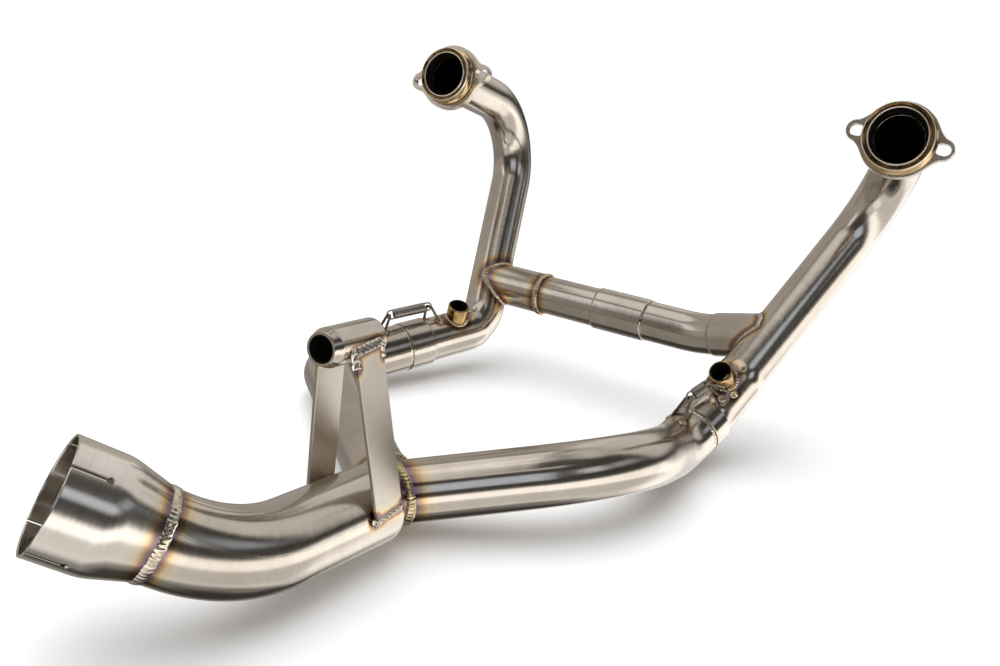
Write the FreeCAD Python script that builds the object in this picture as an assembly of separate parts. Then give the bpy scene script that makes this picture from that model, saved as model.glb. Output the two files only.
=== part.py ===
import FreeCAD, Part
import math
import os

vec = FreeCAD.Vector
up = vec(0, 0, 1)

# Pipe sizes, in millimetres.
headerOuter = 45.0
lowerOuter = 51.0
mainOuter = 63.5
crossOuter = 42.0
wall = 1.5

# Corner points of the bent pipes, where their straight centrelines would meet.
outletMouth = vec(-142.0, -354.5, 109.5)
mainCorner = vec(-66.0, -277.0, 47.5)
junction = vec(-47.5, -110.0, 32.5)
rightCorners = [vec(107.5, -7.0, 60.5), vec(104.6, 128.3, 21.3), vec(120.2, 179.9, 44.4), vec(231.0, 364.5, 277.5)]
rightPort = vec(232.5, 225.0, 319.5)
leftCorners = [vec(-260.0, 74.0, 27.0), vec(-174.5, 249.0, 46.0), vec(-218.0, 404.0, 265.5)]
leftPort = vec(-221.0, 225.0, 320.5)
crossCorner = vec(79.0, 257.0, 94.0)

# Centreline radii of the bends, in the order of the corners.
mainBends = [115.0]
rightBends = [138.0, 65.0, 40.0, 71.0]
leftBends = [28.0, 42.0, 68.0]
crossBends = [118.0]

# Stations along the centrelines, measured from the outlet mouth or the junction.
socketLength = 68.0
branchBack = 12.0
rightBeadAt = 342.0
rightSlipAt = 363.0
rightCrossAt = 465.0
leftBeadAt = 374.0
leftSlipAt = 402.0
leftCrossAt = 530.0
rightSwageLength = 50.0
leftSwageLength = 53.0
swageCone = 9.0
slipLap = 20.0

# Outlet socket: a wide thin mouth with keyhole slots, coned down to the main pipe.
socketOuter = 79.5
socketStraight = 37.0
slotCount = 4
slotDepth = 24.0
slotWidth = 2.0
slotEyeRadius = 3.2
slotClock = 32.5

# Weld beads: half width along the pipe and height above it.
beadHalf = 4.0
beadHeight = 2.0
finBead = 1.6

# Collector lip between the main pipe and the right lower pipe.
lipDepth = 7.0

# Port flanges: eared plate and stepped collar.
plateThickness = 8.0
plateRadius = 32.0
earSpacing = 73.5
earRadius = 10.5
earFillet = 9.0
boltRadius = 5.25
collarRadius = 27.5
collarStepRadius = 30.0
collarStep = 5.0
collarHeight = 13.0
collarBore = 22.8
rightFlangeTwist = -5.6
leftFlangeTwist = 13.2

# Crossover sleeve and stubs.
sleeveStart = 144.0
sleeveEnd = 204.0
stubRingAt = 74.0
rightStubAt = 283.0

# Oxygen-sensor bungs.
bungRadius = 11.5
bungBore = 9.0
bungHeight = 16.0
rightBungAt = 399.0
rightBungClock = 16.0
leftBungAt = 440.0
leftBungClock = 20.0

# Springs over the slip joints and their wire hooks: the arch's station and clock angle,
# then the station, clock angle and half spread of the two feet.
springRadius = 5.6
springWire = 1.8
springRise = 12.0
hookWire = 3.0
hookDab = 3.2
eyeReach = 3.0
rightLowerHook = [344.0, -12.0, 332.0, -12.0, 22.0]
rightUpperHook = [385.0, 10.0, 384.0, 6.0, 24.0]
leftLowerHook = [361.0, -6.0, 349.0, -10.0, 22.0]
leftUpperHook = [403.0, 0.0, 415.0, 11.0, 24.0]

# Hanger: a tube above the main pipe on two flat side strips.
hangerNear = vec(-61.0, -195.5, 176.5)
hangerFar = vec(-61.0, -136.0, 169.0)
hangerRadius = 14.5
hangerBore = 9.8
hangerRim = 2.2
hangerChamfer = 7.0
stripWidth = 32.0
stripThickness = 3.0
stripAcross = -162.0
stripFootRise = 8.0
stripBite = 0.4
stripBead = 2.2


def unit(direction):
    length = direction.Length
    return vec(direction.x / length, direction.y / length, direction.z / length)


# A run is a list of straight and bent stretches along one pipe's centreline.
def runThrough(corners, bends):
    stretches = []
    here = corners[0]
    for corner, after, bend in zip(corners[1:-1], corners[2:], bends):
        into = unit(corner - here)
        out = unit(after - corner)
        turn = into.getAngle(out)
        setback = bend * math.tan(turn / 2)
        start = corner - into * setback
        stretches.append(("line", here, into, (start - here).Length, None, None, 0))
        side = unit(out - into * into.dot(out))
        stretches.append(("arc", start, into, turn * bend, start + side * bend, side, bend))
        here = corner + out * setback
    last = unit(corners[-1] - here)
    stretches.append(("line", here, last, (corners[-1] - here).Length, None, None, 0))
    return stretches


def runLength(run):
    return sum(stretch[3] for stretch in run)


def alongStretch(stretch, distance):
    kind, start, into, length, centre, side, bend = stretch
    if kind == "line":
        return start + into * distance, into
    angle = distance / bend
    point = centre - side * (bend * math.cos(angle)) + into * (bend * math.sin(angle))
    return point, into * math.cos(angle) + side * math.sin(angle)


def spotOn(run, station):
    passed = 0
    for stretch in run:
        if station <= passed + stretch[3] or stretch is run[-1]:
            return alongStretch(stretch, station - passed)
        passed += stretch[3]


def wireOf(run, begin, end):
    edges = []
    passed = 0
    for stretch in run:
        low = max(begin - passed, 0)
        high = min(end - passed, stretch[3])
        if stretch is run[-1]:
            high = end - passed
        if high - low > 0.01:
            first = alongStretch(stretch, low)[0]
            final = alongStretch(stretch, high)[0]
            if stretch[0] == "line":
                edges.append(Part.makeLine(first, final))
            else:
                middle = alongStretch(stretch, (low + high) / 2)[0]
                edges.append(Part.Arc(first, middle, final).toShape())
        passed += stretch[3]
    return Part.Wire(edges)


def rodAlong(run, begin, end, radius):
    point, direction = spotOn(run, begin)
    disc = Part.Face(Part.Wire(Part.Circle(point, direction, radius).toShape()))
    return wireOf(run, begin, end).makePipe(disc)


def pipeAlong(run, begin, end, outer, thickness):
    return rodAlong(run, begin, end, outer / 2).cut(rodAlong(run, begin, end, outer / 2 - thickness))


# The upward side of a pipe at one place, and the outward direction at a clock angle from it.
def frameAt(direction):
    above = unit(up - direction * up.dot(direction))
    return above, direction.cross(above)


def outwardAt(run, station, clock):
    point, direction = spotOn(run, station)
    above, aside = frameAt(direction)
    angle = math.radians(clock)
    return point, above * math.cos(angle) + aside * math.sin(angle)


def stood(shape, point, direction, clock=0):
    above, aside = frameAt(direction)
    turned = shape.copy()
    turned.rotate(vec(), up, clock)
    spin = FreeCAD.Rotation(above, aside, direction, "ZXY")
    turned.Placement = FreeCAD.Placement(point, spin).multiply(turned.Placement)
    return turned


# A ring or cup turned from a list of (radius, height) corners about +Z.
def turned(corners):
    points = [vec(radius, 0, height) for radius, height in corners]
    face = Part.Face(Part.makePolygon(points + [points[0]]))
    return face.revolve(vec(), up, 360)


def beadRing(radius, half, height):
    low = vec(radius, 0, -half)
    high = vec(radius, 0, half)
    hump = Part.Arc(low, vec(radius + height, 0, 0), high).toShape()
    face = Part.Face(Part.Wire([hump, Part.makeLine(high, low)]))
    return face.revolve(vec(), up, 360)


def beadOn(run, station, radius, half=beadHalf, height=beadHeight):
    point, direction = spotOn(run, station)
    return stood(beadRing(radius, half, height), point, direction)


# A block that fills everything beyond a plane.
def beyond(point, direction):
    size = 160
    block = Part.makeBox(size, size, size, vec(-size / 2, -size / 2, 0))
    return stood(block, point, direction)


# A weld where one body stands on another: the overlap of both grown bodies, less both.
def saddleBead(branchGrown, hostGrown, branch, host):
    return branchGrown.common(hostGrown).cut(branch).cut(host)


nodes = {}

mainRun = runThrough([outletMouth, mainCorner, junction], mainBends)
rightRun = runThrough([junction] + rightCorners + [rightPort], rightBends)
mainLength = runLength(mainRun)
branchPoint = spotOn(mainRun, mainLength - branchBack)[0]
leftRun = runThrough([branchPoint] + leftCorners + [leftPort], leftBends)
rightLength = runLength(rightRun)
leftLength = runLength(leftRun)
crossStart = spotOn(leftRun, leftCrossAt)[0]
crossEnd = spotOn(rightRun, rightCrossAt)[0]
crossRun = runThrough([crossStart, crossCorner, crossEnd], crossBends)
crossLength = runLength(crossRun)

# Outlet socket with its keyhole slots.
socketRadius = socketOuter / 2
mainRadius = mainOuter / 2
socket = turned([
    (socketRadius - wall, 0), (socketRadius, 0), (socketRadius, socketStraight),
    (mainRadius, socketLength), (mainRadius - wall, socketLength),
    (socketRadius - wall, socketStraight)])
slot = Part.makeBox(socketOuter, slotWidth, slotDepth + 1, vec(0, -slotWidth / 2, -1))
eye = Part.makeCylinder(slotEyeRadius, socketOuter, vec(0, 0, slotDepth), vec(1, 0, 0))
keyhole = slot.fuse(eye)
for place in range(slotCount):
    cutter = keyhole.copy()
    cutter.rotate(vec(), up, slotClock + 360 * place / slotCount)
    socket = socket.cut(cutter)
mouthPoint, mouthDirection = spotOn(mainRun, 0)
nodes["outlet_socket"] = stood(socket, mouthPoint, mouthDirection)
socketSolid = stood(Part.makeCone(socketRadius, mainRadius, socketLength - socketStraight), *spotOn(mainRun, socketStraight))
nodes["outlet_weld"] = beadOn(mainRun, socketLength, mainRadius).cut(socketSolid)

# Collector: the main pipe ends on the mitre plane and its lip closes down to the right lower pipe.
mainDirection = spotOn(mainRun, mainLength)[1]
rightDirection = spotOn(rightRun, 0)[1]
mitre = unit(mainDirection + rightDirection)
mitreBack = junction - mitre * (lipDepth / 2)
mitreFront = junction + mitre * (lipDepth / 2)
reach = mainOuter
longMain = runThrough([outletMouth, mainCorner, junction + mainDirection * reach], mainBends)
longRight = runThrough([junction - rightDirection * reach] + rightCorners + [rightPort], rightBends)
lowerRadius = lowerOuter / 2


def mitreEllipse(direction, centre, radius):
    slope = direction.dot(mitre)
    heading = unit(rightDirection - mitre * rightDirection.dot(mitre))
    across = mitre.cross(heading)
    oval = Part.Ellipse(centre + heading * (radius / slope), centre + across * radius, centre)
    return Part.Wire(oval.toShape())


def lipLoft(inset):
    backCentre = junction - mainDirection * (lipDepth / 2 / mainDirection.dot(mitre))
    frontCentre = junction + rightDirection * (lipDepth / 2 / rightDirection.dot(mitre))
    wide = mitreEllipse(mainDirection, backCentre, mainRadius - inset)
    narrow = mitreEllipse(rightDirection, frontCentre, lowerRadius - inset)
    return Part.makeLoft([wide, narrow], True, True)


mainSolid = rodAlong(longMain, socketLength, mainLength + reach / 2, mainRadius).cut(beyond(mitreBack, mitre))
mainHollow = rodAlong(longMain, socketLength, mainLength + reach / 2, mainRadius - wall)
mainHollow = mainHollow.cut(beyond(mitreBack, mitre))
rightSolid = rodAlong(longRight, reach / 2, reach + rightBeadAt, lowerRadius).cut(beyond(mitreFront, mitre * -1))
rightHollow = rodAlong(longRight, reach / 2, reach + rightBeadAt, lowerRadius - wall)
rightHollow = rightHollow.cut(beyond(mitreFront, mitre * -1))
lipSolid = lipLoft(0)
lipHollow = lipLoft(wall)

leftSolid = rodAlong(leftRun, 0, leftBeadAt, lowerRadius)
leftHollow = rodAlong(leftRun, 0, leftBeadAt, lowerRadius - wall)
leftPipe = leftSolid.cut(leftHollow)
for body in (mainSolid, lipSolid, rightSolid):
    leftPipe = leftPipe.cut(body)

nodes["main_pipe"] = mainSolid.cut(mainHollow).cut(leftHollow)
nodes["collector_lip"] = lipSolid.cut(lipHollow).cut(leftHollow)
nodes["right_lower_pipe"] = rightSolid.cut(rightHollow).cut(leftHollow)
nodes["left_lower_pipe"] = leftPipe

ringSlab = beyond(mitreFront - mitre * (beadHalf / 4), mitre).cut(beyond(mitreFront + mitre * beadHalf * 1.5, mitre))
ringGrown = rodAlong(longRight, reach / 2, reach + lowerOuter, lowerRadius + beadHeight)
nodes["collector_weld"] = ringGrown.common(ringSlab).cut(rightSolid).cut(lipSolid).cut(leftSolid)
branchGrown = rodAlong(leftRun, 0, mainOuter * 2, lowerRadius + beadHeight)
hostGrown = rodAlong(longMain, mainLength - mainOuter * 1.5, mainLength, mainRadius + beadHeight)
hostGrown = hostGrown.fuse(rodAlong(longRight, reach, reach + mainOuter, lowerRadius + beadHeight))
hostSolid = mainSolid.fuse([lipSolid, rightSolid])
branchBead = saddleBead(branchGrown, hostGrown, leftSolid, hostSolid)
nodes["branch_weld"] = branchBead.cut(nodes["collector_weld"])

# Slip joints: a socket on each lower pipe, and the header's swaged end inside it.
swageRadius = lowerRadius - wall
headerRadius = headerOuter / 2


def slipSocket(run, begin, end):
    return pipeAlong(run, begin, end, lowerOuter + 2 * finBead / 2, wall + finBead / 2)


def reducer(run, begin, end, wide, narrow):
    rims = []
    for station, radius in ((begin, wide), (end, narrow)):
        point, direction = spotOn(run, station)
        rims.append(Part.Wire(Part.Circle(point, direction, radius).toShape()))
    return Part.makeLoft(rims, True, True)


def headerPipe(run, slipAt, swageLength, length):
    tip = slipAt - slipLap
    coneFrom = slipAt + swageLength
    coneTo = coneFrom + swageCone
    swage = rodAlong(run, tip, coneFrom, swageRadius)
    swageInside = rodAlong(run, tip, coneFrom, swageRadius - wall)
    cone = reducer(run, coneFrom, coneTo, swageRadius, headerRadius)
    coneInside = reducer(run, coneFrom, coneTo, swageRadius - wall, headerRadius - wall)
    tail = rodAlong(run, coneTo, length, headerRadius)
    tailInside = rodAlong(run, coneTo, length, headerRadius - wall)
    solid = swage.fuse(cone).fuse(tail)
    return solid, solid.cut(swageInside).cut(coneInside).cut(tailInside)


nodes["right_slip_socket"] = slipSocket(rightRun, rightBeadAt, rightSlipAt)
nodes["left_slip_socket"] = slipSocket(leftRun, leftBeadAt, leftSlipAt)
nodes["right_slip_bead"] = beadOn(rightRun, rightBeadAt - beadHalf / 2, lowerRadius, beadHalf / 2, finBead)
nodes["left_slip_bead"] = beadOn(leftRun, leftBeadAt - beadHalf / 2, lowerRadius, beadHalf / 2, finBead)
rightSolidHeader, rightHeader = headerPipe(rightRun, rightSlipAt, rightSwageLength, rightLength)
leftSolidHeader, leftHeader = headerPipe(leftRun, leftSlipAt, leftSwageLength, leftLength)

# Crossover: stub, weld ring, sleeve, bent tube, seam ring and a stub on the right header.
crossRadius = crossOuter / 2
stubOuter = crossOuter + 2 * wall
stubRadius = stubOuter / 2
leftStubSolid = rodAlong(crossRun, 0, stubRingAt, stubRadius)
rightStubSolid = rodAlong(crossRun, rightStubAt, crossLength, stubRadius)
nodes["cross_left_stub"] = leftStubSolid.cut(rodAlong(crossRun, 0, stubRingAt, crossRadius)).cut(leftSolidHeader)
nodes["cross_right_stub"] = rightStubSolid.cut(rodAlong(crossRun, rightStubAt, crossLength, crossRadius))
nodes["cross_right_stub"] = nodes["cross_right_stub"].cut(rightSolidHeader)
nodes["cross_tube"] = pipeAlong(crossRun, stubRingAt - slipLap, rightStubAt + slipLap, crossOuter, wall)
nodes["cross_sleeve"] = pipeAlong(crossRun, sleeveStart, sleeveEnd, stubOuter, wall)
ring = beadOn(crossRun, stubRingAt, crossRadius, beadHalf, beadHeight + wall)
nodes["cross_weld_ring"] = ring.cut(nodes["cross_left_stub"])
seam = beadOn(crossRun, rightStubAt, crossRadius, beadHalf * 0.7, beadHeight + wall / 2)
nodes["cross_seam_ring"] = seam.cut(nodes["cross_right_stub"])
crossReach = headerOuter * 1.2
leftStubGrown = rodAlong(crossRun, 0, crossReach, stubRadius + beadHeight)
rightStubGrown = rodAlong(crossRun, crossLength - crossReach, crossLength, stubRadius + beadHeight)
leftHeaderGrown = rodAlong(leftRun, leftCrossAt - crossReach, leftCrossAt + crossReach, headerRadius + beadHeight)
rightHeaderGrown = rodAlong(rightRun, rightCrossAt - crossReach * 0.7, rightCrossAt + crossReach, headerRadius + beadHeight)
nodes["cross_left_weld"] = saddleBead(leftStubGrown, leftHeaderGrown, leftStubSolid, leftSolidHeader)
nodes["cross_right_weld"] = saddleBead(rightStubGrown, rightHeaderGrown, rightStubSolid, rightSolidHeader)
leftHeader = leftHeader.cut(rodAlong(crossRun, 0, crossReach, crossRadius - wall))
rightHeader = rightHeader.cut(rodAlong(crossRun, crossLength - crossReach, crossLength, crossRadius - wall))

# Oxygen-sensor bungs stand on the swaged ends of the headers.
def bungOn(run, station, clock, host):
    point, outward = outwardAt(run, station, clock)
    height = swageRadius + bungHeight
    body = turned([
        (bungBore, 0), (bungRadius + 1, 0), (bungRadius + 1, height - bungHeight * 0.7),
        (bungRadius, height - bungHeight * 0.5), (bungRadius, height - 1), (bungRadius - 1, height), (bungBore, height)])
    body = stood(body, point, outward).cut(host)
    bore = stood(Part.makeCylinder(bungBore, height), point, outward)
    post = stood(Part.makeCylinder(bungRadius + 1, height), point, outward)
    postGrown = stood(Part.makeCylinder(bungRadius + 1 + beadHeight, height), point, outward)
    hostGrown = rodAlong(run, station - 2 * bungRadius, station + 2 * bungRadius, swageRadius + beadHeight)
    return body, bore, saddleBead(postGrown, hostGrown, post, host)


rightBung, rightBore, rightBungBead = bungOn(rightRun, rightBungAt, rightBungClock, rightSolidHeader)
leftBung, leftBore, leftBungBead = bungOn(leftRun, leftBungAt, leftBungClock, leftSolidHeader)
nodes["right_bung"] = rightBung
nodes["left_bung"] = leftBung
nodes["right_bung_weld"] = rightBungBead
nodes["left_bung_weld"] = leftBungBead
nodes["right_header_pipe"] = rightHeader.cut(rightBore)
nodes["left_header_pipe"] = leftHeader.cut(leftBore)


# Port flanges: an eared plate round the pipe end and a stepped collar in front of it.
def flangeOn(run, length, twist):
    seat, direction = spotOn(run, length - plateThickness)
    oval = Part.makeCylinder(plateRadius, plateThickness)
    ears = Part.makeBox(earSpacing, 2 * earRadius, plateThickness, vec(-earSpacing / 2, -earRadius, 0))
    plate = oval.fuse(ears)
    for side in (-1, 1):
        plate = plate.fuse(Part.makeCylinder(earRadius, plateThickness, vec(side * earSpacing / 2, 0, 0)))
    plate = plate.removeSplitter()
    corners = []
    for edge in plate.Edges:
        ends = [vertex.Point for vertex in edge.Vertexes]
        upright = len(ends) == 2 and abs(ends[0].z - ends[1].z) > plateThickness / 2
        if upright and abs(math.hypot(ends[0].x, ends[0].y) - plateRadius) < 0.01:
            corners.append(edge)
    plate = plate.makeFillet(earFillet, corners)
    for side in (-1, 1):
        plate = plate.cut(Part.makeCylinder(boltRadius, plateThickness, vec(side * earSpacing / 2, 0, 0)))
    plate = plate.cut(Part.makeCylinder(headerRadius, plateThickness))
    collar = turned([
        (collarBore, plateThickness), (collarStepRadius, plateThickness),
        (collarStepRadius, plateThickness + collarStep), (collarRadius, plateThickness + collarStep + 1),
        (collarRadius, plateThickness + collarHeight - 1), (collarRadius - 1, plateThickness + collarHeight),
        (collarBore, plateThickness + collarHeight)])
    return stood(plate, seat, direction, 90 + twist), stood(collar, seat, direction, 90 + twist)


nodes["right_flange_plate"], nodes["right_flange_collar"] = flangeOn(rightRun, rightLength, rightFlangeTwist)
nodes["left_flange_plate"], nodes["left_flange_collar"] = flangeOn(leftRun, leftLength, leftFlangeTwist)


# A tight-wound extension spring between two hooks: its closed coils as one ribbed tube,
# and a long open eye at each end.
def springBetween(first, last):
    span = (last - first).Length
    direction = unit(last - first)
    wireRadius = springWire / 2
    coilRadius = springRadius - wireRadius
    tip = (springWire + hookWire) / 2
    bodyStart = coilRadius - tip + eyeReach
    coils = int((span - 2 * bodyStart) / springWire)
    bodyStart = (span - coils * springWire) / 2
    inner = coilRadius - wireRadius / 2
    edges = []
    for coil in range(coils):
        low = vec(coilRadius, 0, coil * springWire)
        high = low + up * springWire
        edges.append(Part.Arc(low, (low + high) / 2 + vec(wireRadius, 0, 0), high).toShape())
    foot = vec(coilRadius, 0, 0)
    head = vec(coilRadius, 0, coils * springWire)
    edges.append(Part.makeLine(head, vec(inner, 0, head.z)))
    edges.append(Part.makeLine(vec(inner, 0, head.z), vec(inner, 0, 0)))
    edges.append(Part.makeLine(vec(inner, 0, 0), foot))
    body = Part.Face(Part.Wire(edges)).revolve(vec(), up, 360)
    body.translate(up * bodyStart)
    eyes = []
    for base, end in ((bodyStart + springWire, -tip), (span - bodyStart - springWire, span + tip)):
        legs = [(coilRadius, base), (coilRadius, end), (-coilRadius, end), (-coilRadius, base)]
        bend = coilRadius * 0.98
        eyeRun = runThrough([vec(across, 0, height) for across, height in legs], [bend, bend])
        eyes.append(rodAlong(eyeRun, 0, runLength(eyeRun), wireRadius * 0.9))
    return stood(body.fuse(eyes), first, direction)


# A wire bail: two feet welded on the pipe and an arch that the spring's eye hooks over.
def hookOn(run, hook, radius, host):
    station, archClock, footStation, footClock, spread = hook
    point, outward = outwardAt(run, station, archClock)
    arch = point + outward * (radius + springRise)
    seats = [outwardAt(run, footStation, footClock + side * spread) for side in (-1, 1)]
    feet = [base + away * (radius - hookWire / 2) for base, away in seats]
    dabs = [Part.makeSphere(hookDab, base + away * radius) for base, away in seats]
    across = unit(feet[1] - feet[0]) * hookWire * 1.1
    wireRun = runThrough([feet[0], arch - across, arch + across, feet[1]], [hookWire, hookWire])
    wire = rodAlong(wireRun, 0, runLength(wireRun), hookWire / 2)
    return arch, wire.fuse(dabs).cut(host)


lowerRight, nodes["right_lower_hook"] = hookOn(rightRun, rightLowerHook, lowerRadius, rightSolid)
upperRight, nodes["right_upper_hook"] = hookOn(
    rightRun, rightUpperHook, swageRadius, rightSolidHeader.fuse(rightBungBead))
lowerLeft, nodes["left_lower_hook"] = hookOn(leftRun, leftLowerHook, lowerRadius, leftSolid)
upperLeft, nodes["left_upper_hook"] = hookOn(leftRun, leftUpperHook, swageRadius, leftSolidHeader)
nodes["right_spring"] = springBetween(lowerRight, upperRight)
nodes["left_spring"] = springBetween(lowerLeft, upperLeft)

# Hanger tube on two strips that straddle the main pipe.
hangerDirection = unit(hangerFar - hangerNear)
hangerLength = (hangerFar - hangerNear).Length
tube = turned([
    (hangerBore, 0), (hangerBore + hangerRim, 0), (hangerRadius, hangerChamfer),
    (hangerRadius, hangerLength - 1), (hangerRadius - 1, hangerLength), (hangerBore, hangerLength)])
nodes["hanger_tube"] = stood(tube, hangerNear, hangerDirection)
tubeSolid = stood(Part.makeCylinder(hangerRadius, hangerLength), hangerNear, hangerDirection)
tubeGrown = stood(Part.makeCylinder(hangerRadius + stripBead, hangerLength), hangerNear, hangerDirection)
mainGrown = rodAlong(mainRun, mainLength / 2, mainLength - lipDepth, mainRadius + stripBead)


def pointAcross(run, across):
    low = 0
    high = runLength(run)
    for step in range(40):
        middle = (low + high) / 2
        if spotOn(run, middle)[0].y < across:
            low = middle
        else:
            high = middle
    return spotOn(run, low)[0]


mainUnder = pointAcross(mainRun, stripAcross)
tubeOver = hangerNear + hangerDirection * ((stripAcross - hangerNear.y) / hangerDirection.y)


def stripOn(side):
    footReach = math.sqrt(mainRadius ** 2 - stripFootRise ** 2)
    top = tubeOver + vec(side * (hangerRadius + stripThickness / 2 - stripBite), 0, 0)
    foot = mainUnder + vec(side * (footReach + stripThickness / 2 - stripBite), 0, stripFootRise)
    down = unit(foot - top)
    across = unit(vec(0, 1, 0) - down * down.y)
    spin = FreeCAD.Rotation(across.cross(down), across, down, "ZYX")
    bars = []
    for grow in (0, stripBead):
        bar = Part.makeBox(stripThickness + 2 * grow, stripWidth + 2 * grow, (foot - top).Length + 2 * grow)
        bar.translate(vec(-stripThickness / 2 - grow, -stripWidth / 2 - grow, -grow))
        bar.Placement = FreeCAD.Placement(top, spin).multiply(bar.Placement)
        bars.append(bar)
    strip = bars[0].cut(tubeSolid).cut(mainSolid)
    topBead = saddleBead(bars[1], tubeGrown, bars[0], tubeSolid)
    footBead = saddleBead(bars[1], mainGrown, bars[0], mainSolid)
    return strip, topBead, footBead


nodes["hanger_strip_left"], nodes["hanger_left_top_weld"], nodes["hanger_left_foot_weld"] = stripOn(-1)
nodes["hanger_strip_right"], nodes["hanger_right_top_weld"], nodes["hanger_right_foot_weld"] = stripOn(1)

os.makedirs("parts", exist_ok=True)
whole = Part.makeCompound(list(nodes.values()))
box = whole.optimalBoundingBox(False)
print("bounds", box)
for name, shape in nodes.items():
    shape.exportStep("parts/" + name + ".step")
    print(name, shape.ShapeType, len(shape.Solids), round(shape.Volume), shape.isValid())
print("lengths", mainLength, rightLength, leftLength, crossLength)
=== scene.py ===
import bpy
import math
import random
from mathutils import Matrix, Vector, kdtree


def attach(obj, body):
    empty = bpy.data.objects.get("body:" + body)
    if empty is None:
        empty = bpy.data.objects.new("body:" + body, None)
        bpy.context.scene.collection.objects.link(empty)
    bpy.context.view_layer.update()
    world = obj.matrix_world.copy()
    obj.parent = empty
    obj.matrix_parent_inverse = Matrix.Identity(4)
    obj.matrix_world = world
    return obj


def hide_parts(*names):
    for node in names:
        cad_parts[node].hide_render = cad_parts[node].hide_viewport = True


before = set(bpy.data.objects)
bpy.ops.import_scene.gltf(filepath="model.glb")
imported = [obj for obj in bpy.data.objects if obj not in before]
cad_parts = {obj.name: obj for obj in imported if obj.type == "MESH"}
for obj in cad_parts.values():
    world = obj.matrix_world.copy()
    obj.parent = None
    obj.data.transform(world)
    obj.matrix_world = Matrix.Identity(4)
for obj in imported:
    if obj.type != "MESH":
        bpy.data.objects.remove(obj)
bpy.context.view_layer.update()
up = Vector((0, 0, 1))


# Small helpers for colours and nodes.
def linear(code):
    parts = [int(code[i:i + 2], 16) / 255 for i in (1, 3, 5)]
    return [c / 12.92 if c <= 0.04045 else ((c + 0.055) / 1.055) ** 2.4 for c in parts] + [1.0]


def addNode(tree, kind, inputs=None, **settings):
    node = tree.nodes.new(kind)
    for key, value in settings.items():
        setattr(node, key, value)
    for key, value in (inputs or {}).items():
        if isinstance(value, bpy.types.NodeSocket):
            tree.links.new(value, node.inputs[key])
        else:
            node.inputs[key].default_value = value
    return node


def newMaterial(name):
    material = bpy.data.materials.new(name)
    material.use_nodes = True
    material.node_tree.nodes.clear()
    return material, material.node_tree


def rampNode(tree, factor, stops, mode="LINEAR"):
    node = addNode(tree, "ShaderNodeValToRGB", {"Fac": factor})
    node.color_ramp.interpolation = mode
    points = node.color_ramp.elements
    while len(points) < len(stops):
        points.new(0.5)
    for point, (place, colour) in zip(points, stops):
        point.position = place
        point.color = linear(colour) if isinstance(colour, str) else (colour, colour, colour, 1)
    return node.outputs["Color"]


def mathNode(tree, operation, first, second=0.0, third=0.0, clamp=False):
    node = addNode(tree, "ShaderNodeMath", {0: first, 1: second, 2: third}, operation=operation, use_clamp=clamp)
    return node.outputs[0]


def mixColour(tree, factor, first, second, blend="MIX"):
    node = addNode(tree, "ShaderNodeMix", {0: factor, 6: first, 7: second}, data_type="RGBA", blend_type=blend)
    return node.outputs[2]


# Centrelines, in metres, the same as the part's.
def mm(*values):
    return Vector([value / 1000 for value in values])


def runThrough(corners, bends):
    stretches = []
    here = corners[0]
    for corner, after, bend in zip(corners[1:-1], corners[2:], bends):
        into = (corner - here).normalized()
        out = (after - corner).normalized()
        turn = into.angle(out)
        setback = bend * math.tan(turn / 2)
        start = corner - into * setback
        stretches.append(("line", here, into, (start - here).length, None, None, 0))
        side = (out - into * into.dot(out)).normalized()
        stretches.append(("arc", start, into, turn * bend, start + side * bend, side, bend))
        here = corner + out * setback
    last = (corners[-1] - here).normalized()
    stretches.append(("line", here, last, (corners[-1] - here).length, None, None, 0))
    return stretches


def runLength(run):
    return sum(stretch[3] for stretch in run)


def spotOn(run, station):
    passed = 0
    for stretch in run:
        kind, start, into, length, centre, side, bend = stretch
        if station <= passed + length or stretch is run[-1]:
            distance = station - passed
            if kind == "line":
                return start + into * distance, into
            angle = distance / bend
            point = centre - side * (bend * math.cos(angle)) + into * (bend * math.sin(angle))
            return point, into * math.cos(angle) + side * math.sin(angle)
        passed += length


def frameAt(direction):
    above = (up - direction * up.dot(direction)).normalized()
    return above, direction.cross(above)


def outwardAt(run, station, clock):
    point, direction = spotOn(run, station)
    above, aside = frameAt(direction)
    return point, above * math.cos(clock) + aside * math.sin(clock)


route = {
    "outletMouth": mm(-142, -354.5, 109.5), "mainCorner": mm(-66, -277, 47.5), "junction": mm(-47.5, -110, 32.5),
    "rightCorners": [mm(107.5, -7, 60.5), mm(104.6, 128.3, 21.3), mm(120.2, 179.9, 44.4), mm(231, 364.5, 277.5)],
    "rightPort": mm(232.5, 225, 319.5),
    "leftCorners": [mm(-260, 74, 27), mm(-174.5, 249, 46), mm(-218, 404, 265.5)],
    "leftPort": mm(-221, 225, 320.5), "crossCorner": mm(79, 257, 94),
    "mainBends": [0.115], "rightBends": [0.138, 0.065, 0.040, 0.071], "leftBends": [0.028, 0.042, 0.068],
    "crossBends": [0.118], "branchBack": 0.012, "leftCrossAt": 0.530, "rightCrossAt": 0.465}
mainRun = runThrough([route["outletMouth"], route["mainCorner"], route["junction"]], route["mainBends"])
mainLength = runLength(mainRun)
mainDirection = spotOn(mainRun, mainLength)[1]
rightRun = runThrough([route["junction"]] + route["rightCorners"] + [route["rightPort"]], route["rightBends"])
rightDirection = spotOn(rightRun, 0)[1]
branchPoint = spotOn(mainRun, mainLength - route["branchBack"])[0]
leftRun = runThrough([branchPoint] + route["leftCorners"] + [route["leftPort"]], route["leftBends"])
crossRun = runThrough([spotOn(leftRun, route["leftCrossAt"])[0], route["crossCorner"],
                       spotOn(rightRun, route["rightCrossAt"])[0]], route["crossBends"])
rightLength, leftLength, crossLength = runLength(rightRun), runLength(leftRun), runLength(crossRun)
mitre = (mainDirection + rightDirection).normalized()

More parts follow.
